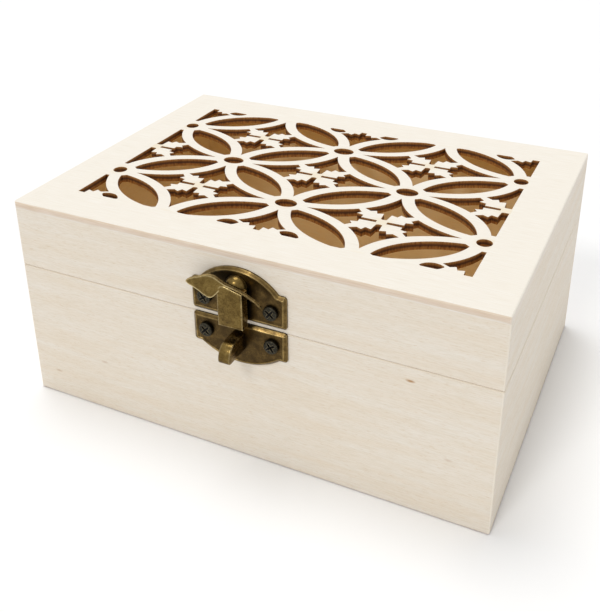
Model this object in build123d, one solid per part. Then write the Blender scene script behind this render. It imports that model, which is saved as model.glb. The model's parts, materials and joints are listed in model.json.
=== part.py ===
from build123d import *
from math import asin, cos, degrees, radians, sin, sqrt
import os

# A wooden keepsake box: a pierced plywood lid on mitred rails, mitred walls below it,
# a bronze turn latch in front and two butt hinges behind.
# Millimetres. +X is to the right, +Y to the back, +Z up.
# The origin is the middle of the underside, where the box stands.

# Box
box_width = 220.0
box_depth = 160.0
box_height = 100.0
lid_height = 32.0
wall = 7.0
corner_radius = 0.8
eased_edge = 0.4
cut_overrun = 1.0

# Plywood panels
panel_thickness = 3.6
bottom_rebate = 3.5
panel_clearance = 0.15

# Fretwork: a lattice of overlapping ovals, with a cross of leaves in every gap.
# Each share is a part of the lattice's half pitch, which the borders leave.
border_side = 19.5
border_front = 20.0
columns_share = 2.043
rows_share = 1.86
petal_arc_share = 0.895
gap_arc_share = 1.025
petal_blunt_share = 0.205
node_hole_share = 0.115
side_hole_place_share = 1.98
side_hole_shares = (0.074, 0.100)
leaf_root_angle = 223.0
leaf_edge_shares = [(0.178, 0.250), (0.124, 0.284), (0.102, 0.212)]
upright_slit_shares = [(0.040, 0.238), (0.030, 0.086), (0.012, 0.072)]
level_slit_shares = [(0.034, 0.214), (0.028, 0.052)]
almond_place_shares = (0.322, 0.192)
almond_size_shares = (0.110, 0.078)
almond_tilt = 12.0

# Latch plates, seen from the front. Heights are measured from the seam.
latch_off_centre = 2.6
plate_half_width = 21.5
plate_thickness = 1.8
plate_bevel = 1.1
plate_corner = 1.4
crown_inset = 3.5
upper_plate_low = 2.4
upper_plate_shoulder = 17.2
upper_plate_crown = 25.6
lower_plate_high = 0.5
lower_plate_shoulder = -13.2
lower_plate_crown = -19.2

# Latch screws
screw_spread = 15.0
upper_screw_height = 9.4
lower_screw_height = -6.2
screw_head_radius = 3.1
screw_head_height = 1.5
screw_head_ease = 0.6
screw_shank_radius = 1.1
screw_cover = 1.4
screw_fit = 0.05

# Latch turn piece: one casting, with its tongue, two wings, a neck and a riveted shank.
pivot_height = 18.0
shank_radius = 2.4
shank_fit = 0.05
neck_radius = 4.8
neck_round = 2.8
turn_gap = 0.15
head_clearance = 0.5
tongue_half_width = 5.6
tongue_thickness = 4.3
tongue_high_top = 3.2
tongue_low_top = 0.4
tongue_drop = 16.1
tongue_shoulder = 4.0
tongue_ease = 0.4
wing_setback = 0.4
wing_thickness = 1.6
wing_root_shift = 0.7
wing_root_rise = 0.7
wing_root_radius = 1.4
wing_tip_round = 1.2
long_wing_reach = 21.7
long_wing_half_width = 4.3
long_wing_angle = 181.9
short_wing_reach = 14.4
short_wing_half_width = 1.6
short_wing_angle = -23.0
washer_radius = 4.4
washer_thickness = 0.8
rivet_radius = 3.2
rivet_thickness = 0.6
recess_clearance = 0.6

# Latch nose: the bill on the lower plate that the tongue comes down to.
nose_width = 5.2
nose_reach = 14.5
nose_root_drop = 4.2
nose_brow_drop = 4.7
nose_chin_drop = 12.0
nose_heel_drop = 12.6
nose_brow_round = 3.8
nose_chin_round = 1.4
nose_ease = 0.5

# Hinges
hinge_place = 62.0
hinge_length = 25.0
leaf_height = 11.0
leaf_thickness = 1.1
leaf_corner = 1.5
knuckle_radius = 2.2
knuckle_stand_off = 0.3
knuckle_gap = 0.2
pin_radius = 1.1
pin_fit = 0.03
leaf_screw_spread = 8.0
leaf_screw_height = 6.8
leaf_screw_head_radius = 1.9
leaf_screw_shank_radius = 0.9
leaf_screw_cover = 2.1

# Places that follow from the sizes above
seam_height = box_height - lid_height
rail_top = box_height - panel_thickness
window_half_x = box_width / 2 - border_side
window_half_y = box_depth / 2 - border_front
pitch_x = window_half_x / columns_share
pitch_y = window_half_y / rows_share
crown_half_width = plate_half_width - crown_inset
screw_end = screw_cover - wall
tongue_back = plate_thickness + screw_head_height + head_clearance
tongue_front = tongue_back + tongue_thickness
wing_front = tongue_front - wing_setback
wing_back = wing_front - wing_thickness
washer_back = -turn_gap - washer_thickness
rivet_back = washer_back - rivet_thickness
leaf_screw_end = leaf_screw_cover - wall
axis_stand = knuckle_radius + knuckle_stand_off

# Flat frames on the front and the back of the box, at the seam, with local Z outward and local Y up
front = Plane(origin=(latch_off_centre, -box_depth / 2, seam_height), x_dir=(1, 0, 0), z_dir=(0, -1, 0))
hinge_sides = {"left": -1, "right": 1}


def hinge_frame(side):
    return Plane(origin=(side * hinge_place, box_depth / 2, seam_height), x_dir=(-1, 0, 0), z_dir=(0, 1, 0))


def rod(radius, low, high):
    """A round bar along local Z, from low to high."""
    return Pos(0, 0, low) * Cylinder(radius, high - low, align=(Align.CENTER, Align.CENTER, Align.MIN))


def slab(face, low, high):
    """A flat piece of the given outline, from low to high along local Z."""
    return Pos(0, 0, low) * extrude(face, high - low)


# Wooden walls and rails

def frame_ring(low, high):
    """Four boards as one ring, before the corners are mitred."""
    outline = RectangleRounded(box_width, box_depth, corner_radius)
    hollow = Rectangle(box_width - 2 * wall, box_depth - 2 * wall)
    return slab(outline - hollow, low, high)


def rim(shape, end):
    """The outer edges of the lowest face, end 0, or of the highest, end -1."""
    return shape.faces().sort_by(Axis.Z)[end].outer_wire().edges()


def mitred(ring, side):
    """One board of a ring, cut at 45 degrees at both ends."""
    across = box_width / 2 if side in ("front", "back") else box_depth / 2
    out = box_depth / 2 if side in ("front", "back") else box_width / 2
    turn = {"front": 0, "right": 90, "back": 180, "left": 270}[side]
    outline = Polyline(
        (-across - cut_overrun, -out - cut_overrun),
        (across + cut_overrun, -out - cut_overrun),
        (across - wall, -out + wall),
        (-across + wall, -out + wall),
        close=True,
    )
    return ring & Rot(0, 0, turn) * slab(make_face(outline), -cut_overrun, box_height + cut_overrun)


def base_ring():
    ring = frame_ring(0, seam_height)
    ring = chamfer(rim(ring, 0) + rim(ring, -1), eased_edge)
    pocket = Rectangle(box_width - 2 * wall + 2 * bottom_rebate, box_depth - 2 * wall + 2 * bottom_rebate)
    return ring - slab(pocket, -cut_overrun, panel_thickness)


def lid_ring():
    ring = frame_ring(seam_height, rail_top)
    return chamfer(rim(ring, 0), eased_edge)


def bottom_panel():
    width = box_width - 2 * wall + 2 * bottom_rebate - 2 * panel_clearance
    depth = box_depth - 2 * wall + 2 * bottom_rebate - 2 * panel_clearance
    return slab(Rectangle(width, depth), 0, panel_thickness)


# Pierced lid panel

def lattice_point(u, v):
    return (u * pitch_x, v * pitch_y)


def oval(u, v, radius_share):
    return Pos(*lattice_point(u, v)) * Ellipse(radius_share * pitch_x, radius_share * pitch_y)


def petal(u, v, lean):
    """The blunt lens between two nodes: u, v is its middle, and lean is the way its long axis slopes."""
    one = oval(u - lean / 2, v + 1 / 2, petal_arc_share)
    other = oval(u + lean / 2, v - 1 / 2, petal_arc_share)
    reach = 1 / 2 - petal_blunt_share * sqrt(1 / 2)
    side = 1 / 2
    corners = [(reach - side, reach + side), (reach + side, reach - side)]
    corners += [(-across, -along) for across, along in corners]
    places = [lattice_point(u + across, v + lean * along) for across, along in corners]
    return one & other & make_face(Polyline(*places, close=True))


def leaf_gap(upright, way):
    """The hole between two leaves of a cross, from the slit at their root to the cusp by the node.

    It is drawn about the middle of the cross, up or down when upright and else left or right.
    """
    cusp = degrees(asin(sqrt(gap_arc_share**2 - 1) / gap_arc_share)) + 180
    slit = upright_slit_shares if upright else level_slit_shares
    lean = radians(leaf_root_angle)
    root = (1 + gap_arc_share * cos(lean), 1 + gap_arc_share * sin(lean))
    half = [root] + leaf_edge_shares + slit
    outline = half + [(-across, along) for across, along in reversed(half)]
    if upright:
        places = [lattice_point(across, way * along) for across, along in outline]
    else:
        places = [lattice_point(way * along, across) for across, along in outline]
    # The two bands beside the hole bow in towards it
    knots = []
    for mirror in (1, -1):
        angle = radians((cusp + leaf_root_angle) / 2)
        across = mirror * (1 + gap_arc_share * cos(angle))
        along = 1 + gap_arc_share * sin(angle)
        knots.append(lattice_point(across, way * along) if upright else lattice_point(way * along, across))
    tip = 1 - sqrt(gap_arc_share**2 - 1)
    tip_place = lattice_point(0, way * tip) if upright else lattice_point(way * tip, 0)
    left_bow = ThreePointArc(places[-1], knots[1], tip_place)
    right_bow = ThreePointArc(tip_place, knots[0], places[0])
    return make_face(Polyline(*places) + left_bow + right_bow)


def almond():
    half_length, half_width = lattice_point(*almond_size_shares)
    upper = ThreePointArc((-half_length, 0), (0, half_width), (half_length, 0))
    lower = ThreePointArc((half_length, 0), (0, -half_width), (-half_length, 0))
    return make_face(upper + lower)


def side_strip(side, way, width_share):
    """The straight end of an upright leaf gap along a side of the window, from the cross to the node."""
    foot_share = upright_slit_shares[-1][1]
    tip_share = 1 - sqrt(gap_arc_share**2 - 1)
    middle = lattice_point(side * width_share / 2, way * (foot_share + tip_share) / 2)
    return Pos(*middle) * Rectangle(*lattice_point(width_share, tip_share - foot_share))


def fretwork_holes():
    """Every hole of the lattice: petals, leaf gaps and almonds that the window cuts off, and whole node holes."""
    holes = []
    node_holes = []
    last_column = 2
    last_row = 2
    for i in range(-last_column, last_column + 1):
        for j in range(-last_row, last_row + 1):
            place = Pos(*lattice_point(i, j))
            if (i + j) % 2:
                if abs(i) == last_column:
                    spot = Pos(*lattice_point(i / last_column * side_hole_place_share, j))
                    node_holes.append(spot * Ellipse(*lattice_point(*side_hole_shares)))
                elif abs(j) < last_row:
                    node_holes.append(oval(i, j, node_hole_share))
                continue
            for way in (-1, 1):
                if j * way < last_row:
                    gap = leaf_gap(True, way)
                    if abs(i) == last_column:
                        gap = gap + side_strip(i / last_column, way, columns_share - last_column)
                    holes.append(place * gap)
                if abs(j) < last_row and i * way < last_column:
                    holes.append(place * leaf_gap(False, way))
                if abs(j) == last_row and i * way < last_column:
                    inward = -1 if j > 0 else 1
                    across, along = almond_place_shares
                    spot = Pos(*lattice_point(way * across, inward * along))
                    holes.append(place * spot * Rot(0, 0, -way * inward * almond_tilt) * almond())
    for i in range(-last_column, last_column):
        for j in range(-last_row, last_row):
            lean = 1 if (i + j) % 2 else -1
            holes.append(petal(i + 1 / 2, j + 1 / 2, lean))
    window = Rectangle(2 * window_half_x, 2 * window_half_y)
    return [hole & window for hole in holes] + node_holes


def lid_fretwork_panel():
    board = slab(RectangleRounded(box_width, box_depth, corner_radius), rail_top, box_height)
    board = chamfer(rim(board, -1), eased_edge)
    cutters = [
        slab(face, rail_top - cut_overrun, box_height + cut_overrun)
        for hole in fretwork_holes()
        for face in hole.faces()
    ]
    return board - cutters


# Latch, drawn flat on the front frame

def latch_plate(straight, shoulder, crown):
    """A cast plate with one straight edge, two square shoulders and a bowed crown, bevelled all round."""
    outline = Polyline(
        (-crown_half_width, shoulder),
        (-plate_half_width, shoulder),
        (-plate_half_width, straight),
        (plate_half_width, straight),
        (plate_half_width, shoulder),
        (crown_half_width, shoulder),
    ) + ThreePointArc((crown_half_width, shoulder), (0, crown), (-crown_half_width, shoulder))
    face = make_face(outline)
    face = fillet(face.vertices(), plate_corner)
    plate = slab(face, 0, plate_thickness)
    return chamfer(rim(plate, -1), plate_bevel)


def screw_pair(height):
    """The places of a plate's two screws."""
    return [Pos(way * screw_spread, height, 0) for way in (-1, 1)]


def screw_hole(start):
    return rod(screw_shank_radius + screw_fit, start, plate_thickness + cut_overrun)


def latch_screws(height):
    """Two pan-head screws."""
    head = rod(screw_head_radius, plate_thickness, plate_thickness + screw_head_height)
    head = chamfer(rim(head, -1), screw_head_ease)
    screw = head + rod(screw_shank_radius, screw_end, plate_thickness)
    return Compound([front * place * screw for place in screw_pair(height)])


def latch_upper_plate():
    plate = latch_plate(upper_plate_low, upper_plate_shoulder, upper_plate_crown)
    holes = [place * screw_hole(-cut_overrun) for place in screw_pair(upper_screw_height)]
    bore = rod(shank_radius + shank_fit, -cut_overrun, plate_thickness + cut_overrun)
    return front * (plate - holes - Pos(0, pivot_height, 0) * bore)


def latch_nose():
    """The bill in side view, with local X outward, drawn out to its width."""
    root = lower_plate_high - nose_root_drop
    brow = lower_plate_high - nose_brow_drop
    chin = lower_plate_high - nose_chin_drop
    heel = lower_plate_high - nose_heel_drop
    outline = Polyline(
        (0, root),
        (plate_thickness, root),
        (nose_reach, brow),
        (nose_reach, chin),
        (0, heel),
        close=True,
    )
    side = make_face(outline)
    side = fillet(side.vertices().sort_by_distance((nose_reach, brow))[0], nose_brow_round)
    side = fillet(side.vertices().sort_by_distance((nose_reach, chin))[0], nose_chin_round)
    across = Plane(origin=(0, 0, 0), x_dir=(0, 0, 1), z_dir=(-1, 0, 0))
    bill = extrude(across * side, nose_width / 2, both=True)
    cheeks = bill.faces().sort_by(Axis.X)
    return chamfer(cheeks[0].edges() + cheeks[-1].edges(), nose_ease)


def latch_lower_plate():
    plate = latch_plate(lower_plate_high, lower_plate_shoulder, lower_plate_crown)
    holes = [place * screw_hole(-cut_overrun) for place in screw_pair(lower_screw_height)]
    return front * (plate - holes + latch_nose())


def wing(reach, half_width, angle):
    """One leaf of the turn piece, from its root to its rounded tip."""
    half = reach / 2
    outline = ThreePointArc((0, 0), (half, half_width), (reach, 0))
    outline += ThreePointArc((reach, 0), (half, -half_width), (0, 0))
    leaf = make_face(outline)
    leaf = fillet(leaf.vertices().sort_by(Axis.X)[-1], wing_tip_round)
    return Pos(wing_root_shift, wing_root_rise, 0) * Rot(0, 0, angle) * leaf


def latch_turn_piece():
    neck = rod(neck_radius, plate_thickness + turn_gap, wing_front)
    neck = fillet(rim(neck, -1), neck_round)
    outline = Polyline(
        (-tongue_half_width, -tongue_drop),
        (tongue_half_width, -tongue_drop),
        (tongue_half_width, tongue_low_top),
        (-tongue_half_width, tongue_high_top),
        close=True,
    )
    face = make_face(outline)
    face = fillet(face.vertices().sort_by(Axis.Y)[-1], tongue_shoulder)
    tongue = slab(face, tongue_back, tongue_front)
    tongue = chamfer(rim(tongue, -1), tongue_ease)
    root = Pos(wing_root_shift, wing_root_rise, 0) * Circle(wing_root_radius)
    long_wing = wing(long_wing_reach, long_wing_half_width, long_wing_angle)
    short_wing = wing(short_wing_reach, short_wing_half_width, short_wing_angle)
    wings = slab(long_wing + short_wing + root, wing_back, wing_front)
    shank = rod(shank_radius, rivet_back, plate_thickness + turn_gap)
    rivet = rod(rivet_radius, rivet_back, washer_back)
    return front * Pos(0, pivot_height, 0) * (neck + tongue + wings + shank + rivet)


def latch_washer():
    ring = Circle(washer_radius) - Circle(shank_radius + shank_fit)
    return front * Pos(0, pivot_height, 0) * slab(ring, washer_back, -turn_gap)


# Hinges, drawn flat on the back frame

def axle(radius, start, end):
    """A round bar along the hinge's axis, which is local X."""
    return Pos(0, 0, axis_stand) * Rot(0, 90, 0) * rod(radius, start, end)


def hinge_leaf(up):
    """A leaf with its knuckles: the lid's has the middle one, the base's has the two at the ends."""
    third = hinge_length / 3
    own = [0] if up > 0 else [-third, third]
    other = [-third, third] if up > 0 else [0]
    face = Rectangle(hinge_length, leaf_height, align=(Align.CENTER, Align.MIN))
    face = fillet(face.vertices().sort_by(Axis.Y)[-2:], leaf_corner)
    leaf = slab(face, 0, leaf_thickness)
    clear = knuckle_radius + knuckle_gap
    length = third - knuckle_gap
    for place in other:
        room = Rectangle(third + knuckle_gap, 2 * clear)
        leaf = leaf - Pos(place, 0, 0) * slab(room, -cut_overrun, leaf_thickness + cut_overrun)
    for place in own:
        leaf = leaf + axle(knuckle_radius, place - length / 2, place + length / 2)
    leaf = leaf - axle(pin_radius + pin_fit, -hinge_length, hinge_length)
    for way in (-1, 1):
        seat = Cone(
            leaf_screw_shank_radius + screw_fit,
            leaf_screw_head_radius + screw_fit,
            leaf_thickness,
            align=(Align.CENTER, Align.CENTER, Align.MIN),
        )
        leaf = leaf - Pos(way * leaf_screw_spread, leaf_screw_height, 0) * seat
    return leaf if up > 0 else Rot(0, 0, 180) * leaf


def hinge_pin():
    """The pin, which ends just inside the outer knuckles."""
    half = hinge_length / 2 - knuckle_gap
    return axle(pin_radius, -half, half)


def hinge_screw():
    """A countersunk screw, flush with the leaf."""
    cone = Cone(
        leaf_screw_shank_radius,
        leaf_screw_head_radius,
        leaf_thickness,
        align=(Align.CENTER, Align.CENTER, Align.MIN),
    )
    return cone + rod(leaf_screw_shank_radius, leaf_screw_end, 0)


def leaf_screw_places(up):
    """Where the screws of both hinges go, in the box's own frame."""
    return [
        hinge_frame(side) * Pos(way * leaf_screw_spread, up * leaf_screw_height, 0)
        for side in hinge_sides.values()
        for way in (-1, 1)
    ]


# Assembly: the boards get their holes, and every piece is named

pieces = {}
base = base_ring()
lid = lid_ring()
sides = ("front", "back", "left", "right")
for side in sides:
    pieces[f"base_{side}_wall"] = mitred(base, side)
    pieces[f"lid_{side}_rail"] = mitred(lid, side)

for height, board in ((lower_screw_height, "base_front_wall"), (upper_screw_height, "lid_front_rail")):
    pilots = [front * place * screw_hole(screw_end - screw_fit) for place in screw_pair(height)]
    pieces[board] = pieces[board] - pilots
recess = rod(washer_radius + recess_clearance, rivet_back - recess_clearance, cut_overrun)
pieces["lid_front_rail"] = pieces["lid_front_rail"] - front * Pos(0, pivot_height, 0) * recess

leaf_pilot = rod(leaf_screw_shank_radius + screw_fit, leaf_screw_end - screw_fit, cut_overrun)
for up, board in ((-1, "base_back_wall"), (1, "lid_back_rail")):
    pieces[board] = pieces[board] - [place * leaf_pilot for place in leaf_screw_places(up)]

pieces["bottom_panel"] = bottom_panel()
pieces["lid_fretwork_panel"] = lid_fretwork_panel()

pieces["latch_upper_plate"] = latch_upper_plate()
pieces["latch_lower_plate"] = latch_lower_plate()
pieces["latch_turn_piece"] = latch_turn_piece()
pieces["latch_washer"] = latch_washer()
pieces["latch_upper_screws"] = latch_screws(upper_screw_height)
pieces["latch_lower_screws"] = latch_screws(lower_screw_height)

for name, side in hinge_sides.items():
    pieces[f"hinge_{name}_base_leaf"] = hinge_frame(side) * hinge_leaf(-1)
    pieces[f"hinge_{name}_lid_leaf"] = hinge_frame(side) * hinge_leaf(1)
    pieces[f"hinge_{name}_pin"] = hinge_frame(side) * hinge_pin()
pieces["hinge_base_screws"] = Compound([place * hinge_screw() for place in leaf_screw_places(-1)])
pieces["hinge_lid_screws"] = Compound([place * hinge_screw() for place in leaf_screw_places(1)])

os.makedirs("parts", exist_ok=True)
for name, shape in pieces.items():
    export_step(shape, f"parts/{name}.step")
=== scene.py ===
import json
import math

import bpy
from mathutils import Matrix, Vector

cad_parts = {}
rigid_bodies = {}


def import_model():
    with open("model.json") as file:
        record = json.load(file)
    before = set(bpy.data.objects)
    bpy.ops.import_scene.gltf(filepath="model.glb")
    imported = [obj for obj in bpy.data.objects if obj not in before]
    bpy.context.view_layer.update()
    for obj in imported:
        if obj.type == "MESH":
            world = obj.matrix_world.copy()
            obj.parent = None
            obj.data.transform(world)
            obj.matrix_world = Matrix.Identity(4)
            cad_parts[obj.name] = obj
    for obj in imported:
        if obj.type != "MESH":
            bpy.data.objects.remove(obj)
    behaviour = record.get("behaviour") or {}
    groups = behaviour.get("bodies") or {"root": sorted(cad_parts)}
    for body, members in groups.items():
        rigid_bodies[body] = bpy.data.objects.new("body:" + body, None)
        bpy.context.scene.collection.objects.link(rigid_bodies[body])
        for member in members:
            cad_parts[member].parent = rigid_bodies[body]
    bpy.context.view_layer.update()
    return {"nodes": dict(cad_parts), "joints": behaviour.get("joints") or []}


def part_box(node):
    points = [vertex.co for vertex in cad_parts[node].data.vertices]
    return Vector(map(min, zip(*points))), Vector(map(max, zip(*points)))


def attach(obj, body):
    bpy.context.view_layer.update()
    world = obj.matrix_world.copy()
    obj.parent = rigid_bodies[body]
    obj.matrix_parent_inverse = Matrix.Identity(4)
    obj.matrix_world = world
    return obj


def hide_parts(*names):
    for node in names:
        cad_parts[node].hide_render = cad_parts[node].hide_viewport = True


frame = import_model()
nodes = frame["nodes"]


# Base walls: four basswood boards, planed and sanded, mitred and glued at the corners.
# They are left bare, so the wood is pale and dry outside and a deeper honey colour inside.
def linear(colour):
    """An sRGB hex colour as linear RGBA."""
    levels = [int(colour[place:place + 2], 16) / 255 for place in (1, 3, 5)]
    return [level / 12.92 if level <= 0.04045 else ((level + 0.055) / 1.055) ** 2.4 for level in levels] + [1]


def add(tree, kind, inputs, stops=(), **settings):
    """Adds a node with its settings, links and colour stops.

    An input is a value, a socket, or a node that stands for its first output.
    """
    made = tree.nodes.new(kind)
    for name, value in settings.items():
        setattr(made, name, value)
    for name, value in inputs.items():
        if isinstance(value, bpy.types.Node):
            value = value.outputs[0]
        if isinstance(value, bpy.types.NodeSocket):
            tree.links.new(value, made.inputs[name])
        else:
            made.inputs[name].default_value = value
    for number, (position, colour) in enumerate(stops):
        elements = made.color_ramp.elements
        if 0 < number < len(stops) - 1:
            element = elements.new(position)
        else:
            element = elements[0 if number == 0 else -1]
        element.position = position
        element.color = linear(colour)
    return made


def new_material(name):
    """An empty material and its node tree."""
    material = bpy.data.materials.new(name)
    material.use_nodes = True
    material.node_tree.nodes.clear()
    return material, material.node_tree


def within_limits(tree, axes, limit_x, limit_y):
    """1 where X and Y both lie within their limits either side of the middle, and 0 elsewhere."""
    within = 1
    for axis, limit in (("X", limit_x), ("Y", limit_y)):
        away = add(tree, "ShaderNodeMath", {0: axes.outputs[axis]}, operation="ABSOLUTE")
        near = add(tree, "ShaderNodeMath", {0: away, 1: limit}, operation="LESS_THAN")
        within = add(tree, "ShaderNodeMath", {0: near, 1: within}, operation="MULTIPLY")
    return within


# The honey colour reaches just past the inner faces, so that they lie wholly in it
inside_margin = 0.00005
inner_x = -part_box("base_left_wall")[1].x + inside_margin
inner_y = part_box("base_back_wall")[0].y + inside_margin
front_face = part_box("base_front_wall")[0].y
# Fibres and pores are hair-fine, and the clouds are soft bands: width across the grain, length along it
grain_sizes = {"fibre": (0.0003, 0.005), "pore": (0.0003, 0.0025), "cloud": (0.005, 0.060)}
grain_relief = 0.00008
# Brown flecks on the front: x, z and how strongly each one shows
flecks = [(0.0751, 0.0619, 0.85), (-0.0979, 0.0131, 0.35), (-0.0696, 0.0264, 0.3), (0.0916, 0.0302, 0.25)]
fleck_radius = 0.0008
# A fleck is drawn out along the grain, and is far deeper than it is high
fleck_scale = (0.35, 0.02, 1)
# Eased edges slope at 45 degrees
eased_tilt = 0.707
tilt_slack = 0.2


def basswood(name, along):
    """Sanded basswood: an even, chalky cream with short, hair-fine streaks along the board.

    The eased edges facing down, above the seam, are browner, and those facing up, below it, carry a pale
    painted highlight; the rounded upright corners are painted pale as a highlight too, the front has a few
    brown flecks, and the inside has turned honey coloured.
    """
    material, tree = new_material(name)
    coordinates = add(tree, "ShaderNodeTexCoord", {})
    place = coordinates.outputs["Object"]
    noise = {}
    for part, (across, length) in grain_sizes.items():
        scale = [1 / across] * 3
        scale[along] = 1 / length
        where = add(tree, "ShaderNodeMapping", {"Vector": place, "Scale": scale})
        noise[part] = add(tree, "ShaderNodeTexNoise",
                          {"Vector": where, "Scale": 1, "Detail": 3, "Roughness": 0.6})
    fibre = add(tree, "ShaderNodeValToRGB", {"Fac": noise["fibre"]},
                stops=[(0.30, "#e7ddcc"), (0.50, "#ede4d6"), (0.70, "#f1e9dd")])
    cloud = add(tree, "ShaderNodeValToRGB", {"Fac": noise["cloud"]},
                stops=[(0.34, "#fcf8f2"), (0.66, "#ffffff")])
    face = add(tree, "ShaderNodeMixRGB", {"Fac": 1, "Color1": fibre, "Color2": cloud}, blend_type="MULTIPLY")
    pore = add(tree, "ShaderNodeMapRange",
               {"Value": noise["pore"], "From Min": 0.58, "From Max": 0.74, "To Max": 0.55})
    face = add(tree, "ShaderNodeMixRGB", {"Fac": pore, "Color1": face, "Color2": linear("#d3b994")})
    if along == 0:
        for x, z, strength in flecks:
            middle = [-part * scale for part, scale in zip((x, front_face, z), fleck_scale)]
            spot = add(tree, "ShaderNodeMapping", {"Vector": place, "Scale": fleck_scale, "Location": middle})
            gap = add(tree, "ShaderNodeVectorMath", {0: spot}, operation="LENGTH").outputs["Value"]
            fleck = add(tree, "ShaderNodeMapRange", {"Value": gap, "From Min": fleck_radius,
                                                     "From Max": fleck_radius / 4, "To Max": strength})
            face = add(tree, "ShaderNodeMixRGB", {"Fac": fleck, "Color1": face, "Color2": linear("#a8700f")})
    axes = add(tree, "ShaderNodeSeparateXYZ", {"Vector": place})
    way = add(tree, "ShaderNodeSeparateXYZ", {"Vector": coordinates.outputs["Normal"]})
    # Eased edges facing down are made browner, and those facing up carry a pale painted highlight
    for tilt, colour in ((-eased_tilt, "#7c5229"), (eased_tilt, "#fff4de")):
        eased_brown_and_highlight = add(tree, "ShaderNodeMath", {0: way.outputs["Z"], 1: tilt, 2: tilt_slack},
                    operation="COMPARE")
        face = add(tree, "ShaderNodeMixRGB", {"Fac": eased_brown_and_highlight, "Color1": face, "Color2": linear(colour)})
    # The rounded upright corners are painted pale as a highlight. Only on a rounded upright corner does the
    # surface face along X and Y at once
    corner = add(tree, "ShaderNodeMath", {0: way.outputs["X"], 1: way.outputs["Y"]}, operation="MULTIPLY")
    corner = add(tree, "ShaderNodeMath", {0: corner}, operation="ABSOLUTE")
    corner = add(tree, "ShaderNodeMapRange",
                 {"Value": corner, "From Min": 0.15, "From Max": 0.45, "To Max": 0.45})
    face = add(tree, "ShaderNodeMixRGB", {"Fac": corner, "Color1": face, "Color2": linear("#fff6e6")})
    inside = within_limits(tree, axes, inner_x, inner_y)
    honey = add(tree, "ShaderNodeValToRGB", {"Fac": noise["fibre"]},
                stops=[(0.30, "#fbdfad"), (0.50, "#ffe6b7"), (0.70, "#ffebc2")])
    face = add(tree, "ShaderNodeMixRGB", {"Fac": inside, "Color1": face, "Color2": honey})
    rough = add(tree, "ShaderNodeMapRange", {"Value": noise["fibre"], "To Min": 0.66, "To Max": 0.52})
    bump = add(tree, "ShaderNodeBump", {"Height": noise["fibre"], "Strength": 0.25, "Distance": grain_relief})
    surface = add(tree, "ShaderNodeBsdfPrincipled", {"Base Color": face, "Roughness": rough, "Normal": bump})
    add(tree, "ShaderNodeOutputMaterial", {"Surface": surface})
    return material


long_board = basswood("basswood_along_front", 0)
short_board = basswood("basswood_along_side", 1)
board_of = {"front": long_board, "back": long_board, "left": short_board, "right": short_board}


def finish_node(name, material):
    """Gives a CAD node its material."""
    nodes[name].data.materials.clear()
    nodes[name].data.materials.append(material)


for side, board in board_of.items():
    finish_node(f"base_{side}_wall", board)


# Bottom panel: a sheet of thin plywood, let into a rebate under the walls and glued.
# Underneath, its veneer is as pale as the boards, and on the floor of the box it is honey coloured.
finish_node("bottom_panel", long_board)


# Lid rails: four basswood boards from the same planks as the walls, so the grain runs on over the seam.
# They are mitred and glued, and the panel is glued down on them.
for side, board in board_of.items():
    finish_node(f"lid_{side}_rail", board)


# Lid panel: poplar plywood, sanded white, pierced by a laser and glued on the rails.
# The laser leaves brown walls, darkest in the glue-soaked core, and a faint cream glow where cuts meet.
panel_low, panel_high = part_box("lid_fretwork_panel")
border_x = 0.0195
border_y = 0.0200
window_half_x = panel_high.x - border_x
window_half_y = panel_high.y - border_y
# How many steps of the lattice go into half the window
columns_share = 2.043
rows_share = 1.86
pitch_x = window_half_x / columns_share
pitch_y = window_half_y / rows_share
# The scorching reaches just past the window, so that the outermost cuts have it too
window_margin = 0.0005
veneer_fibre_width = 0.0005
veneer_fibre_length = 0.012
burn_line_width = 0.0006
burn_line_length = 0.003
glow_radius = 0.0062
glow_core = 0.0015
cut_relief = 0.0001
# A surface is upright where its normal rises or falls by less than this, and faces down beyond it
upright_slope = 0.5


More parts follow.
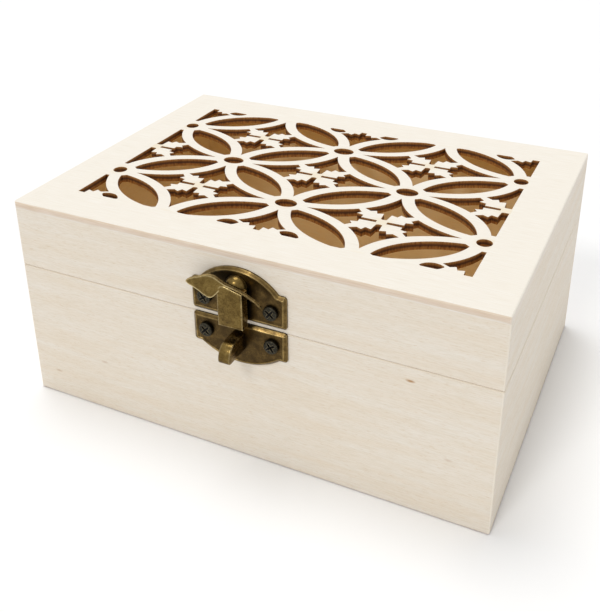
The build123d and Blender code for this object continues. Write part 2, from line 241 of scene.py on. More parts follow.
def pierced_plywood():
    """Laser-cut poplar plywood: a nearly white sanded face, walls scorched in bands, and a layered rim."""
    material, tree = new_material("laser_cut_poplar_plywood")
    coordinates = add(tree, "ShaderNodeTexCoord", {})
    place = coordinates.outputs["Object"]
    axes = add(tree, "ShaderNodeSeparateXYZ", {"Vector": place})
    way = add(tree, "ShaderNodeSeparateXYZ", {"Vector": coordinates.outputs["Normal"]})
    # The face's fibres run along the box's width
    scale = (1 / veneer_fibre_length, 1 / veneer_fibre_width, 1 / veneer_fibre_width)
    where = add(tree, "ShaderNodeMapping", {"Vector": place, "Scale": scale})
    fibre = add(tree, "ShaderNodeTexNoise", {"Vector": where, "Scale": 1, "Detail": 3, "Roughness": 0.6})
    face = add(tree, "ShaderNodeValToRGB", {"Fac": fibre},
               stops=[(0.30, "#f0e8da"), (0.50, "#f5eee1"), (0.70, "#f8f3e9")])
    # The glow lies round every crossing of the lattice
    steps = add(tree, "ShaderNodeMapping",
                {"Vector": place, "Scale": (1 / pitch_x, 1 / pitch_y, 0), "Location": (0.5, 0.5, 0)})
    share = add(tree, "ShaderNodeVectorMath", {0: steps}, operation="FRACTION")
    share = add(tree, "ShaderNodeVectorMath", {0: share, 1: (0.5, 0.5, 0)}, operation="SUBTRACT")
    share = add(tree, "ShaderNodeVectorMath", {0: share, 1: (pitch_x, pitch_y, 0)}, operation="MULTIPLY")
    gap = add(tree, "ShaderNodeVectorMath", {0: share}, operation="LENGTH").outputs["Value"]
    glow = add(tree, "ShaderNodeMapRange",
               {"Value": gap, "From Min": glow_radius, "From Max": glow_core, "To Max": 0.55})
    within = within_limits(tree, axes, window_half_x + window_margin, window_half_y + window_margin)
    glow = add(tree, "ShaderNodeMath", {0: glow, 1: within}, operation="MULTIPLY")
    face = add(tree, "ShaderNodeMixRGB", {"Fac": glow, "Color1": face, "Color2": linear("#f0dfbd")})
    # The walls have bands over the thickness, crossed by burn lines from top to bottom
    depth = add(tree, "ShaderNodeMapRange",
                {"Value": axes.outputs["Z"], "From Min": panel_high.z, "From Max": panel_low.z})
    scale = (1 / burn_line_width, 1 / burn_line_width, 1 / burn_line_length)
    where = add(tree, "ShaderNodeMapping", {"Vector": place, "Scale": scale})
    lines = add(tree, "ShaderNodeTexNoise", {"Vector": where, "Scale": 1, "Detail": 2, "Roughness": 0.6})
    shift = add(tree, "ShaderNodeMapRange", {"Value": lines, "To Min": -0.08, "To Max": 0.08})
    band = add(tree, "ShaderNodeMath", {0: depth, 1: shift}, operation="ADD")
    scorch = add(tree, "ShaderNodeValToRGB", {"Fac": band},
                 stops=[(0.0, "#dcab69"), (0.14, "#bf8848"), (0.33, "#8c5c2f"), (0.42, "#5e3a1f"),
                        (0.56, "#5e3a1f"), (0.66, "#a26c33"), (0.95, "#c08542")])
    soot = add(tree, "ShaderNodeValToRGB", {"Fac": lines}, stops=[(0.34, "#c2ab92"), (0.60, "#ffffff")])
    burnt = add(tree, "ShaderNodeMixRGB", {"Fac": 1, "Color1": scorch, "Color2": soot}, blend_type="MULTIPLY")
    # The rim has a pale veneer, a pinkish core and a light glue line above the rail
    rim = add(tree, "ShaderNodeValToRGB", {"Fac": depth},
              stops=[(0.0, "#f6ead8"), (0.20, "#f1e1cd"), (0.36, "#ebdbc9"), (0.62, "#e8d7c6"),
                     (0.84, "#ebe0d2"), (0.93, "#f3ede6")])
    streak = add(tree, "ShaderNodeValToRGB", {"Fac": fibre}, stops=[(0.30, "#efe6da"), (0.70, "#ffffff")])
    rim = add(tree, "ShaderNodeMixRGB", {"Fac": 1, "Color1": rim, "Color2": streak}, blend_type="MULTIPLY")
    # The ends of the sheet are one even tone, without the layers of its long edges
    end = add(tree, "ShaderNodeMath", {0: way.outputs["X"]}, operation="ABSOLUTE")
    rim = add(tree, "ShaderNodeMixRGB", {"Fac": end, "Color1": rim, "Color2": linear("#ece2d4")})
    walls = add(tree, "ShaderNodeMixRGB", {"Fac": within, "Color1": rim, "Color2": burnt})
    slope = add(tree, "ShaderNodeMath", {0: way.outputs["Z"]}, operation="ABSOLUTE")
    upright = add(tree, "ShaderNodeMath", {0: slope, 1: upright_slope}, operation="LESS_THAN")
    under = add(tree, "ShaderNodeMath", {0: way.outputs["Z"], 1: -upright_slope}, operation="LESS_THAN")
    face = add(tree, "ShaderNodeMixRGB", {"Fac": under, "Color1": face, "Color2": linear("#ffe6b7")})
    face = add(tree, "ShaderNodeMixRGB", {"Fac": upright, "Color1": face, "Color2": walls})
    rough = add(tree, "ShaderNodeMapRange", {"Value": fibre, "To Min": 0.64, "To Max": 0.50})
    relief = add(tree, "ShaderNodeMixRGB", {"Fac": upright, "Color1": fibre, "Color2": lines})
    bump = add(tree, "ShaderNodeBump", {"Height": relief, "Strength": 0.3, "Distance": cut_relief})
    surface = add(tree, "ShaderNodeBsdfPrincipled", {"Base Color": face, "Roughness": rough, "Normal": bump})
    add(tree, "ShaderNodeOutputMaterial", {"Surface": surface})
    return material


finish_node("lid_fretwork_panel", pierced_plywood())


# Latch lower plate: die-cast zinc, plated with brass, darkened and rubbed back, screwed to the front wall.
# A bevel runs round it to a raised rim, and the nose is cast in one with it.
blotch_width = 0.003
cast_grit_width = 0.00025
cast_grit_relief = 0.00005
worn_and_lit_edge_width = 0.0006
grime_and_shade_reach = 0.005


def antique_bronze(name, dark, middle, light, worn_and_lit_colour, roughness=(0.40, 0.26)):
    """Darkened brass: olive brown, finely blotched, blackened by grime and painted shade in corners, and
    rubbed bright on edges as wear and painted highlight.
    """
    material, tree = new_material(name)
    place = add(tree, "ShaderNodeTexCoord", {}).outputs["Object"]
    blotch = add(tree, "ShaderNodeTexNoise",
                 {"Vector": place, "Scale": 1 / blotch_width, "Detail": 3, "Roughness": 0.6})
    grit = add(tree, "ShaderNodeTexNoise",
               {"Vector": place, "Scale": 1 / cast_grit_width, "Detail": 2, "Roughness": 0.6})
    mixed = add(tree, "ShaderNodeMath", {0: blotch, 1: grit}, operation="ADD")
    mixed = add(tree, "ShaderNodeMath", {0: mixed, 1: 0.5}, operation="MULTIPLY")
    tone = add(tree, "ShaderNodeValToRGB", {"Fac": mixed},
               stops=[(0.36, dark), (0.50, middle), (0.66, light)])
    # The patina is worn through in patches along outer edges, and this bright wear also serves as the edges'
    # painted highlight
    body = add(tree, "ShaderNodeAmbientOcclusion", {"Distance": worn_and_lit_edge_width},
               samples=8, inside=True, only_local=True)
    wear_and_highlight = add(tree, "ShaderNodeMapRange",
               {"Value": body.outputs["AO"], "From Min": 0.95, "From Max": 0.70, "To Max": 0.75})
    rub = add(tree, "ShaderNodeMapRange",
              {"Value": mixed, "From Min": 0.36, "From Max": 0.60, "To Min": 0.35})
    wear_and_highlight = add(tree, "ShaderNodeMath", {0: wear_and_highlight, 1: rub}, operation="MULTIPLY")
    tone = add(tree, "ShaderNodeMixRGB", {"Fac": wear_and_highlight, "Color1": tone, "Color2": linear(worn_and_lit_colour)})
    # Grime stays in inner corners, and painted shade darkens wherever other parts or the wall come near
    near = add(tree, "ShaderNodeAmbientOcclusion", {"Distance": grime_and_shade_reach}, samples=8)
    corner = add(tree, "ShaderNodeValToRGB", {"Fac": near.outputs["AO"]},
                 stops=[(0.25, "#3a3026"), (0.85, "#ffffff")])
    tone = add(tree, "ShaderNodeMixRGB", {"Fac": 1, "Color1": tone, "Color2": corner}, blend_type="MULTIPLY")
    rough = add(tree, "ShaderNodeMapRange", {"Value": mixed, "From Min": 0.35, "From Max": 0.65,
                                             "To Min": roughness[0], "To Max": roughness[1]})
    bump = add(tree, "ShaderNodeBump", {"Height": grit, "Strength": 0.18, "Distance": cast_grit_relief})
    surface = add(tree, "ShaderNodeBsdfPrincipled",
                  {"Base Color": tone, "Metallic": 1, "Roughness": rough, "Normal": bump})
    add(tree, "ShaderNodeOutputMaterial", {"Surface": surface})
    return material


# Flat faces keep the dark patina, bevels are rubbed lighter, and what the fingers turn is polished
patina = antique_bronze("antique_bronze_patina", "#382b18", "#4c3c22", "#6a5531", "#d8b874")
rubbed = antique_bronze("antique_bronze_rubbed_bevel", "#413420", "#5d4a2a", "#7c663c", "#e2c586")
handled = antique_bronze("antique_bronze_handled", "#4b3b1f", "#69552d", "#867142", "#e9d5a0", (0.34, 0.20))


def edit(piece):
    """Makes a piece the only selected one and opens it in edit mode with nothing selected in it."""
    bpy.ops.object.select_all(action="DESELECT")
    piece.select_set(True)
    bpy.context.view_layer.objects.active = piece
    bpy.ops.object.mode_set(mode="EDIT")
    bpy.ops.mesh.select_all(action="DESELECT")


def forget_picks(piece, *kinds):
    """Leaves edit mode, deselects the whole mesh, and sets which of corners, edges and faces are picked."""
    bpy.ops.object.mode_set(mode="OBJECT")
    bpy.context.tool_settings.mesh_select_mode = kinds
    for parts in (piece.data.vertices, piece.data.edges, piece.data.polygons):
        parts.foreach_set("select", [False] * len(parts))


def pick_faces(piece, wanted):
    """Selects the faces for which wanted(centre, normal) is true."""
    forget_picks(piece, False, False, True)
    for face in piece.data.polygons:
        face.select = wanted(face.center, face.normal)
    bpy.ops.object.mode_set(mode="EDIT")


def pick_edges(piece, wanted):
    """Selects the edges for which wanted(one end, other end) is true."""
    forget_picks(piece, False, True, False)
    corners = piece.data.vertices
    for edge in piece.data.edges:
        edge.select = wanted(corners[edge.vertices[0]].co, corners[edge.vertices[1]].co)
    bpy.ops.object.mode_set(mode="EDIT")


def close_edit(piece, smooth_angle):
    """Leaves edit mode with soft shading over edges flatter than the angle, in degrees."""
    bpy.ops.object.mode_set(mode="OBJECT")
    bpy.ops.object.shade_smooth_by_angle(angle=math.radians(smooth_angle))


weld_distance = 0.000001
flat_angle = 1


def copy_of(node, name):
    """A merged copy of a CAD node's mesh, with its flat faces whole again."""
    piece = bpy.data.objects.new(name, nodes[node].data.copy())
    bpy.context.scene.collection.objects.link(piece)
    piece.data.materials.clear()
    edit(piece)
    bpy.ops.mesh.select_all(action="SELECT")
    bpy.ops.mesh.customdata_custom_splitnormals_clear()
    bpy.ops.mesh.remove_doubles(threshold=weld_distance)
    bpy.ops.mesh.dissolve_limited(angle_limit=math.radians(flat_angle))
    bpy.ops.mesh.select_all(action="DESELECT")
    return piece


def own(piece, body, slot, *replaced):
    """Hangs a finished piece on its body, in place of its CAD nodes."""
    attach(piece, body)
    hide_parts(*replaced)


# A face is square to an axis where its normal has more than this share along it
square = 0.99
# Corners this near to a place count as being there
touch = 0.0001
plate_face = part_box("latch_upper_plate")[0].y
plate_face_slack = 0.00001
outline_corner = 0.00045
rim_width = 0.0004
rim_height = 0.0002
# The bevel's faces point forward by between these shares of their normal
bevel_steepest = -0.5
bevel_flattest = -0.9


def cast_plate(node, name):
    """A casting from a CAD plate: its outer edge and bevel, a raised rim and a sunk face.

    It is closed, because the screws' heads and the turn piece cover its holes.
    """
    piece = copy_of(node, name)
    piece.data.materials.append(patina)
    piece.data.materials.append(rubbed)

    def in_front(centre, normal):
        """Whether a face lies in the front of the plate."""
        return normal.y < -square and abs(centre.y - plate_face) < plate_face_slack

    # Only the ring round the outside is kept, and both its ends are closed again
    pick_faces(piece, lambda centre, normal: abs(normal.y) > square or centre.y < plate_face)
    bpy.ops.mesh.delete(type="FACE")
    left_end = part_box(node)[0].x
    pick_faces(piece, lambda centre, normal: centre.x < left_end + touch)
    bpy.ops.mesh.select_linked()
    bpy.ops.mesh.select_all(action="INVERT")
    bpy.ops.mesh.delete(type="FACE")
    bpy.ops.mesh.select_all(action="SELECT")
    bpy.ops.mesh.fill_holes(sides=0)
    bpy.ops.mesh.select_all(action="SELECT")
    bpy.ops.mesh.normals_make_consistent(inside=False)
    # The outline's smallest curves are drawn together to corners, which a rim can follow
    pick_faces(piece, in_front)
    bpy.ops.mesh.remove_doubles(threshold=outline_corner)
    # A flat rim is left, and a slope of 45 degrees goes down from it to the sunk face
    pick_faces(piece, in_front)
    bpy.ops.mesh.inset(thickness=rim_width, depth=0)
    bpy.ops.mesh.inset(thickness=rim_height, depth=-rim_height)
    close_edit(piece, smooth_angle=30)
    for face in piece.data.polygons:
        if bevel_flattest < face.normal.y < bevel_steepest:
            face.material_index = 1
    return piece


lower_plate = cast_plate("latch_lower_plate", "lower_plate_casting")
own(lower_plate, "base", "antique_bronze", "latch_lower_plate")


# Latch nose: the bill of the lower plate, cast with it and polished by the thumb on its brow.
# It stands straight out under the tongue and turns down at the front.
nose_width = 0.0052
nose_top_drop = 0.0042
nose_height = 0.0079
nose_sunk = 0.0004
nose_brow = 0.0060
nose_lip = 0.0016
nose_ease = 0.0005
nose_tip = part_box("latch_lower_plate")[0].y
nose_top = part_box("latch_lower_plate")[1].z - nose_top_drop
nose_root = plate_face + nose_sunk
nose_foot = nose_top - nose_height
pivot = Vector(next(joint["pos_m"] for joint in frame["joints"] if joint["name"] == "latch_turn"))


def cast_block(name, low, high):
    """A block of the latch's casting between two corners, in edit mode."""
    bpy.ops.object.select_all(action="DESELECT")
    bpy.ops.mesh.primitive_cube_add(size=1)
    piece = bpy.context.object
    piece.name = name
    piece.data.materials.append(handled)
    edit(piece)
    bpy.ops.mesh.select_all(action="SELECT")
    bpy.ops.transform.resize(value=high - low)
    bpy.ops.transform.translate(value=(low + high) / 2)
    return piece


def round_edges(offset, segments):
    """Rounds the selected edges over."""
    bpy.ops.mesh.bevel(offset=offset, segments=segments, affect="EDGES")


nose = cast_block("latch_nose", Vector((pivot.x - nose_width / 2, nose_tip, nose_foot)),
                  Vector((pivot.x + nose_width / 2, nose_root, nose_top)))
pick_edges(nose, lambda one, other: max(one.y, other.y) < nose_tip + touch
           and min(one.z, other.z) > nose_top - touch)
round_edges(nose_brow, segments=16)
pick_edges(nose, lambda one, other: max(one.y, other.y) < nose_tip + touch
           and max(one.z, other.z) < nose_foot + touch)
round_edges(nose_lip, segments=6)
pick_faces(nose, lambda centre, normal: abs(normal.x) > square)
bpy.ops.mesh.region_to_loop()
round_edges(nose_ease, segments=4)
close_edit(nose, smooth_angle=40)
own(nose, "base", "antique_bronze", "latch_lower_plate")


# Latch upper plate: the same casting with a tall bowed crown, screwed to the lid's front rail.
# The turn piece is riveted through it, over a washer.
upper_plate = cast_plate("latch_upper_plate", "upper_plate_casting")
own(upper_plate, "lid", "antique_bronze", "latch_upper_plate")
finish_node("latch_washer", patina)


# Latch turn piece: one casting, plated as the plates are, with a domed neck, a tongue and a wing to turn it.
# It is riveted behind the plate and polished by the fingers, and the wing's upper edge is reeded.
turn_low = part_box("latch_turn_piece")[0]
turn_gap = 0.00015
neck_radius = 0.0048
neck_round = 0.0044
wing_setback = 0.0004
wing_thickness = 0.0015
neck_back = plate_face - turn_gap
neck_front = turn_low.y + wing_setback + wing_thickness
bpy.ops.object.select_all(action="DESELECT")
bpy.ops.mesh.primitive_cylinder_add(vertices=64, radius=neck_radius, depth=neck_back - neck_front)
neck = bpy.context.object
neck.name = "turn_neck"
neck.data.materials.append(handled)
edit(neck)
bpy.ops.mesh.select_all(action="SELECT")
bpy.ops.transform.rotate(value=math.radians(90), orient_axis="X", center_override=(0, 0, 0))
bpy.ops.transform.translate(value=(pivot.x, (neck_back + neck_front) / 2, pivot.z))
pick_faces(neck, lambda centre, normal: normal.y < -square)
bpy.ops.mesh.region_to_loop()
round_edges(neck_round, segments=16)
close_edit(neck, smooth_angle=60)
own(neck, "turn", "antique_bronze", "latch_turn_piece")

# The tongue is higher and rounder at its left shoulder than at its right one
tongue_half_width = 0.0056
tongue_thickness = 0.0043
tongue_high_top = 0.0032
tongue_low_top = 0.0004
tongue_shoulder = 0.0040
tongue_ease = 0.00045
tongue_top = pivot.z + tongue_high_top
tongue = cast_block("turn_tongue", Vector((pivot.x - tongue_half_width, turn_low.y, turn_low.z)),
                    Vector((pivot.x + tongue_half_width, turn_low.y + tongue_thickness, tongue_top)))
pick_edges(tongue, lambda one, other: min(one.x, other.x) > pivot.x
           and min(one.z, other.z) > tongue_top - touch)
bpy.ops.transform.translate(value=(0, 0, tongue_low_top - tongue_high_top))
pick_edges(tongue, lambda one, other: max(one.x, other.x) < pivot.x
           and min(one.z, other.z) > tongue_top - touch)
round_edges(tongue_shoulder, segments=12)
pick_faces(tongue, lambda centre, normal: normal.y < -square)
bpy.ops.mesh.region_to_loop()
round_edges(tongue_ease, segments=4)
close_edit(tongue, smooth_angle=40)
own(tongue, "turn", "antique_bronze", "latch_turn_piece")

# The wing from its left tip to its right one, in mm from the pivot: x, upper edge, lower edge, and how far
# the upper edge lies behind the lower one
wing_edges = [(-19.8, 0.9, 0.3, 0.3), (-18.5, 1.8, -0.5, 0.6), (-16.5, 2.6, -1.1, 0.9),
              (-14.0, 3.5, -1.9, 1.4), (-11.5, 4.5, -3.0, 1.9), (-9.0, 4.8, -3.9, 2.0),
              (-7.0, 4.5, -3.2, 1.8), (-5.0, 3.9, -1.0, 1.0), (-3.3, 3.4, 0.9, 0.4),
              (-1.8, 3.0, 1.5, 0.0), (0.8, 2.6, 1.2, -0.4), (3.4, 2.0, 0.6, -0.7),
              (7.3, 0.8, -0.9, -1.0), (11.1, -1.0, -2.8, -1.0), (13.2, -2.7, -4.0, -0.7),
              (13.7, -3.5, -4.1, -0.4)]
mm_in_metre = 1000
wing_left = wing_edges[0][0]
wing_right = wing_edges[-1][0]
wing_front = turn_low.y + wing_setback
# Allows for rounding where a corner is matched with its place
wing_slack = 0.001
wing_swell_share = 0.06
reed_pitch = 0.4
reed_depth = 0.00016
wing_columns = 2 * round((wing_right - wing_left) / reed_pitch)
wing_rows = 8


def smooth_curve(before, start, end, beyond, share):
    """The value at a share of the way from start to end, on a smooth curve through the points around."""
    return (share ** 3 * (3 * start - 3 * end + beyond - before) / 2
            + share ** 2 * (2 * before - 5 * start + 4 * end - beyond) / 2
            + share * (end - before) / 2 + start)


bpy.ops.object.select_all(action="DESELECT")
bpy.ops.mesh.primitive_grid_add(x_subdivisions=wing_columns, y_subdivisions=wing_rows, size=2)
wing = bpy.context.object
wing.name = "turn_wing"
wing.data.materials.append(handled)
upper_row = [corner.index for corner in wing.data.vertices if corner.co.y > 1 - wing_slack]
reeds = [index for index in upper_row if round((wing.data.vertices[index].co.x + 1) / 2 * wing_columns) % 2]
for corner in wing.data.vertices:
    x = wing_left + (corner.co.x + 1) / 2 * (wing_right - wing_left)
    row = (corner.co.y + 1) / 2
    after = next(number for number in range(1, len(wing_edges)) if x <= wing_edges[number][0] + wing_slack)
    around = [wing_edges[max(0, min(number, len(wing_edges) - 1))] for number in range(after - 2, after + 2)]
    share = (x - around[1][0]) / (around[2][0] - around[1][0])
    top, low, lean = [smooth_curve(*values, share) for values in list(zip(*around))[1:]]
    # The left leaf leans back at its top, the right one forward, and both swell to a ridge
    out = lean * (row - 0.5) - wing_swell_share * (top - low) * (1 - (2 * row - 1) ** 2)
    height = low + row * (top - low)
    corner.co = (pivot.x + x / mm_in_metre, wing_front + out / mm_in_metre, pivot.z + height / mm_in_metre)
for index in reeds:
    wing.data.vertices[index].co.z -= reed_depth
edit(wing)
bpy.ops.mesh.select_all(action="SELECT")
bpy.ops.mesh.extrude_region_move(TRANSFORM_OT_translate={"value": (0, wing_thickness, 0)})
bpy.ops.mesh.select_all(action="SELECT")
bpy.ops.mesh.normals_make_consistent(inside=False)
close_edit(wing, smooth_angle=35)
own(wing, "turn", "antique_bronze", "latch_turn_piece")


# Latch screws: four steel pan-head screws with a cross recess, blackened.
# Two go through each plate into the wood.
steel_grit_width = 0.0005
worn_and_lit_head_width = 0.0003
recess_shade_reach = 0.0016
recess_grit_width = 0.0004


def blackened_steel():
    """Blackened steel: grey black, rubbed to a brassy grey on the head's edge as wear and as its painted
    highlight, and blackened by painted shade in the recess.
    """
    material, tree = new_material("blackened_steel")
    place = add(tree, "ShaderNodeTexCoord", {}).outputs["Object"]
    grit = add(tree, "ShaderNodeTexNoise",
               {"Vector": place, "Scale": 1 / steel_grit_width, "Detail": 3, "Roughness": 0.6})
    tone = add(tree, "ShaderNodeValToRGB", {"Fac": grit},
               stops=[(0.35, "#22211c"), (0.52, "#33312a"), (0.68, "#4a463a")])
    # The head's edge is rubbed to a brassy grey, which also serves as its painted highlight
    body = add(tree, "ShaderNodeAmbientOcclusion", {"Distance": worn_and_lit_head_width},
               samples=8, inside=True, only_local=True)
    wear_and_highlight = add(tree, "ShaderNodeMapRange",
               {"Value": body.outputs["AO"], "From Min": 0.94, "From Max": 0.60, "To Max": 0.5})
    tone = add(tree, "ShaderNodeMixRGB", {"Fac": wear_and_highlight, "Color1": tone, "Color2": linear("#b0a07c")})
    # Painted shade blackens the recess and wherever the head comes near the plate
    near = add(tree, "ShaderNodeAmbientOcclusion", {"Distance": recess_shade_reach}, samples=8)
    corner = add(tree, "ShaderNodeValToRGB", {"Fac": near.outputs["AO"]},
                 stops=[(0.55, "#0a0908"), (0.92, "#ffffff")])
    tone = add(tree, "ShaderNodeMixRGB", {"Fac": 1, "Color1": tone, "Color2": corner}, blend_type="MULTIPLY")
    rough = add(tree, "ShaderNodeMapRange", {"Value": grit, "To Min": 0.5, "To Max": 0.3})
    surface = add(tree, "ShaderNodeBsdfPrincipled", {"Base Color": tone, "Metallic": 1, "Roughness": rough})
    add(tree, "ShaderNodeOutputMaterial", {"Surface": surface})
    return material


def recess_painted_shade():
    """The cross's painted shade: a dull black, a little grey where a driver has scraped it."""
    material, tree = new_material("recess_painted_shade")
    place = add(tree, "ShaderNodeTexCoord", {}).outputs["Object"]
    grit = add(tree, "ShaderNodeTexNoise", {"Vector": place, "Scale": 1 / recess_grit_width, "Detail": 2})
    tone = add(tree, "ShaderNodeValToRGB", {"Fac": grit}, stops=[(0.40, "#0b0a09"), (0.70, "#2a2620")])
    surface = add(tree, "ShaderNodeBsdfPrincipled", {"Base Color": tone, "Metallic": 0.6, "Roughness": 0.6})
    add(tree, "ShaderNodeOutputMaterial", {"Surface": surface})
    return material


head_steel = blackened_steel()
recess_shade_black = recess_painted_shade()
# The cutter of one bar of the cross stands half above the head and narrows downwards
bar_width_share = 0.42
bar_depth_share = 0.75
bar_foot_shares = (0.35, 0.5, 1)
# What lies below the head's top and this near its axis is the recess
recess_radius_share = 0.7
recess_top = 0.00005


def cross_screw(name, radius, height, foot_radius, ease, arm, material):
    """A screw head along Z, with its top at the origin and a tapered cross cut into it.

    The arm is half the length of the cutter's bar at its upper end.
    """
    bpy.ops.object.select_all(action="DESELECT")
    bpy.ops.mesh.primitive_cone_add(vertices=48, radius1=foot_radius, radius2=radius, depth=height,
                                    location=(0, 0, -height / 2))
    head = bpy.context.object
    head.name = name
    bpy.ops.object.transform_apply(location=True)
    head.data.materials.append(material)
    edit(head)
    pick_faces(head, lambda centre, normal: normal.z > square)
    bpy.ops.mesh.region_to_loop()
    round_edges(ease, segments=5)
    close_edit(head, smooth_angle=40)
    bar_depth = bar_depth_share * height
    for turn in (0, 90):
        bpy.ops.object.select_all(action="DESELECT")
        bpy.ops.mesh.primitive_cube_add(size=1)
        cutter = bpy.context.object
        edit(cutter)
        bpy.ops.mesh.select_all(action="SELECT")
        bpy.ops.transform.resize(value=(2 * arm, bar_width_share * arm, 2 * bar_depth))
        pick_faces(cutter, lambda centre, normal: normal.z < -square)
        bpy.ops.transform.resize(value=bar_foot_shares, center_override=(0, 0, -bar_depth))
        bpy.ops.mesh.select_all(action="SELECT")
        bpy.ops.transform.rotate(value=math.radians(turn), orient_axis="Z", center_override=(0, 0, 0))
        bpy.ops.object.mode_set(mode="OBJECT")
        bpy.ops.object.select_all(action="DESELECT")
        head.select_set(True)
        bpy.context.view_layer.objects.active = head
        recess = head.modifiers.new("recess", "BOOLEAN")
        recess.object = cutter
        recess.operation = "DIFFERENCE"
        recess.solver = "EXACT"
        bpy.ops.object.modifier_apply(modifier="recess")
        bpy.data.objects.remove(cutter)
    # The recess's faces get a near-black material that is painted shade
    head.data.materials.append(recess_shade_black)
    recess_radius = recess_radius_share * arm
    for face in head.data.polygons:
        if face.center.z < -recess_top and math.hypot(face.center.x, face.center.y) < recess_radius:
            face.material_index = 1
    return head


def put_screw(pattern, name, turn, facing, place):
    """A copy of a screw with its own mesh, turned on its axis, laid to face front or back, and moved."""
    screw = bpy.data.objects.new(name, pattern.data.copy())
    bpy.context.scene.collection.objects.link(screw)
    lay = Matrix.Rotation(math.radians(90 if facing == "front" else -90), 4, "X")
    screw.data.transform(Matrix.Translation(place) @ lay @ Matrix.Rotation(math.radians(turn), 4, "Z"))
    return screw


pan_radius = 0.0031
pan_height = 0.0015
pan_ease = 0.0006
pan_arm = 0.0033
pan_head = cross_screw("pan_head_pattern", pan_radius, pan_height, pan_radius, pan_ease, pan_arm, head_steel)
# Each cross stands as the driver left it, at so many degrees
for level, body, turns in (("upper", "lid", (38, 52)), ("lower", "base", (47, 35))):
    node = f"latch_{level}_screws"
    low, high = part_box(node)
    middle = (low.z + high.z) / 2
    for side, x, turn in (("left", low.x + pan_radius, turns[0]), ("right", high.x - pan_radius, turns[1])):
        screw = put_screw(pan_head, f"latch_{level}_{side}_screw", turn, "front", Vector((x, low.y, middle)))
        own(screw, body, "gunmetal", node)
bpy.data.objects.remove(pan_head)


# Hinges: two butt hinges of pressed brass-plated steel, darkened, laid on the back over the seam.
# The leaves' knuckles are rolled round a pin, and four countersunk screws hold each hinge.
hinge_patina = antique_bronze("hinge_bronze_patina", "#44361f", "#5f4c2c", "#7c6439", "#c2a05e")
leaf_ease = 0.00018
leaf_sharp_angle = 40


def rounded_copy(node, name):
    """A copy of a hinge leaf with its sharp edges rounded over."""
    piece = copy_of(node, name)
    bpy.ops.object.mode_set(mode="OBJECT")
    soft = piece.modifiers.new("soft", "BEVEL")
    soft.width = leaf_ease
    soft.segments = 2
    soft.limit_method = "ANGLE"
    soft.angle_limit = math.radians(leaf_sharp_angle)
    bpy.ops.object.modifier_apply(modifier="soft")
    bpy.ops.object.shade_smooth_by_angle(angle=math.radians(leaf_sharp_angle))
    return piece


for side in ("left", "right"):
    for half in ("base", "lid"):
        node = f"hinge_{side}_{half}_leaf"
        leaf = rounded_copy(node, f"{side}_{half}_hinge_leaf")
        leaf.data.materials.append(hinge_patina)
        own(leaf, half, "hinge_bronze", node)
    finish_node(f"hinge_{side}_pin", hinge_patina)

flat_radius = 0.0019
flat_foot = 0.0009
flat_height = 0.0011
flat_ease = 0.00012
flat_arm = 0.0016
leaf_screw_gap = 0.016
turn_step = 20
flat_head = cross_screw("flat_head_pattern", flat_radius, flat_height, flat_foot, flat_ease, flat_arm,
                        hinge_patina)
for half in ("base", "lid"):
    node = f"hinge_{half}_screws"
    low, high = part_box(node)
    middle = (low.z + high.z) / 2
    first = low.x + flat_radius
    last = high.x - flat_radius
    for number, x in enumerate((first, first + leaf_screw_gap, last - leaf_screw_gap, last), 1):
        screw = put_screw(flat_head, f"hinge_{half}_screw_{number}", turn_step * number, "back",
                          Vector((x, high.y, middle)))
        own(screw, half, "hinge_bronze", node)
bpy.data.objects.remove(flat_head)


# Floor: a plain studio floor of matt white paper, which takes the box's soft shadow.
# It runs so far that its edge is never in the picture.
floor_size = 60
bpy.ops.object.select_all(action="DESELECT")
bpy.ops.mesh.primitive_plane_add(size=floor_size)
floor = bpy.context.object
floor.name = "floor"
paper, tree = new_material("white_paper")
lit = add(tree, "ShaderNodeBsdfPrincipled", {"Base Color": linear("#ffffff"), "Roughness": 0.9})
add(tree, "ShaderNodeOutputMaterial", {"Surface": lit})
floor.data.materials.append(paper)


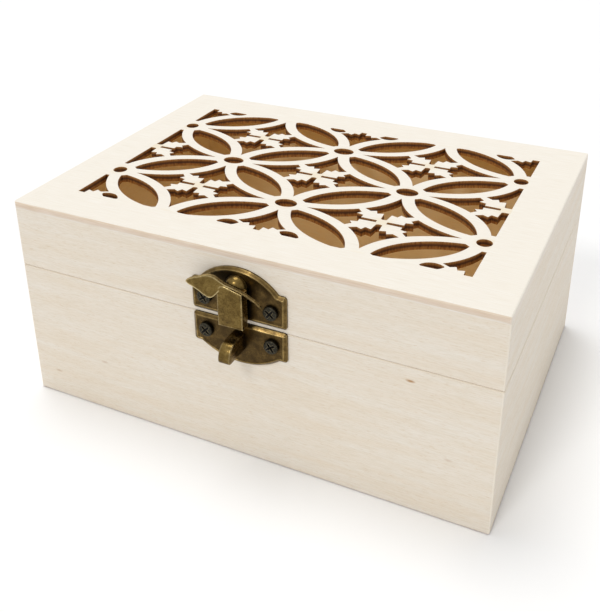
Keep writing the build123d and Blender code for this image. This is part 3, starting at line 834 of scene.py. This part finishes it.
# Light: an even white room, a broad lamp nearly overhead, a little left and behind, and one in front.
# Together they light a level face at the strength at which its colour shows as it is written.
room_light = 0.50
room_seen = 1.0
world = bpy.data.worlds.new("studio")
bpy.context.scene.world = world
world.use_nodes = True
tree = world.node_tree
tree.nodes.clear()
rays = add(tree, "ShaderNodeLightPath", {}).outputs
seen = add(tree, "ShaderNodeMath", {0: rays["Is Camera Ray"], 1: rays["Is Glossy Ray"]}, operation="MAXIMUM")
seen = add(tree, "ShaderNodeMath", {0: seen, 1: rays["Is Transmission Ray"]}, operation="MAXIMUM")
strength = add(tree, "ShaderNodeMapRange", {"Value": seen, "To Min": room_light, "To Max": room_seen})
room = add(tree, "ShaderNodeBackground", {"Color": linear("#ffffff"), "Strength": strength})
add(tree, "ShaderNodeOutputWorld", {"Surface": room})

# Each lamp's strength, its breadth in degrees and the direction that it shines from
lamps = {"overhead": (1.18, 28, (-0.18, 0.13, 0.95)), "front": (0.66, 14, (-0.13, -0.67, 0.70))}
for name, (energy, breadth, source) in lamps.items():
    bpy.ops.object.light_add(type="SUN")
    lamp = bpy.context.object
    lamp.name = name
    lamp.data.energy = energy
    lamp.data.angle = math.radians(breadth)
    lamp.rotation_mode = "QUATERNION"
    lamp.rotation_quaternion = Vector(source).to_track_quat("Z", "Y")


# Camera: at the photograph's place, to the right of the box's front and above it.
# The photograph's optical axis lies above the picture's middle, so the picture is shifted down from it.
# The focal length, the picture's height and the axis's row are in pixels of the photograph.
photo_focal_length = 878.9
photo_height = 612
photo_axis_row = 180
film_height = 36
camera_place = (0.1553, -0.3401, 0.2658)
azimuth = math.radians(25.74)
elevation = math.radians(24.20)
roll = math.radians(-0.47)
bpy.ops.object.camera_add(location=camera_place)
camera = bpy.context.object
level_back = Vector((math.sin(azimuth), -math.cos(azimuth), 0))
back = level_back * math.cos(elevation) + Vector((0, 0, math.sin(elevation)))
right = Vector((0, 0, 1)).cross(back).normalized()
up = back.cross(right)
across = right * math.cos(roll) + up * math.sin(roll)
upright = up * math.cos(roll) - right * math.sin(roll)
camera.rotation_euler = Matrix((across, upright, back)).transposed().to_euler()
camera.data.sensor_width = film_height
camera.data.lens = photo_focal_length * film_height / photo_height
camera.data.shift_y = (photo_axis_row - photo_height / 2) / photo_height
camera.data.clip_start = 0.01
camera.data.clip_end = 200
bpy.context.scene.camera = camera
bpy.context.scene.view_settings.view_transform = "Standard"
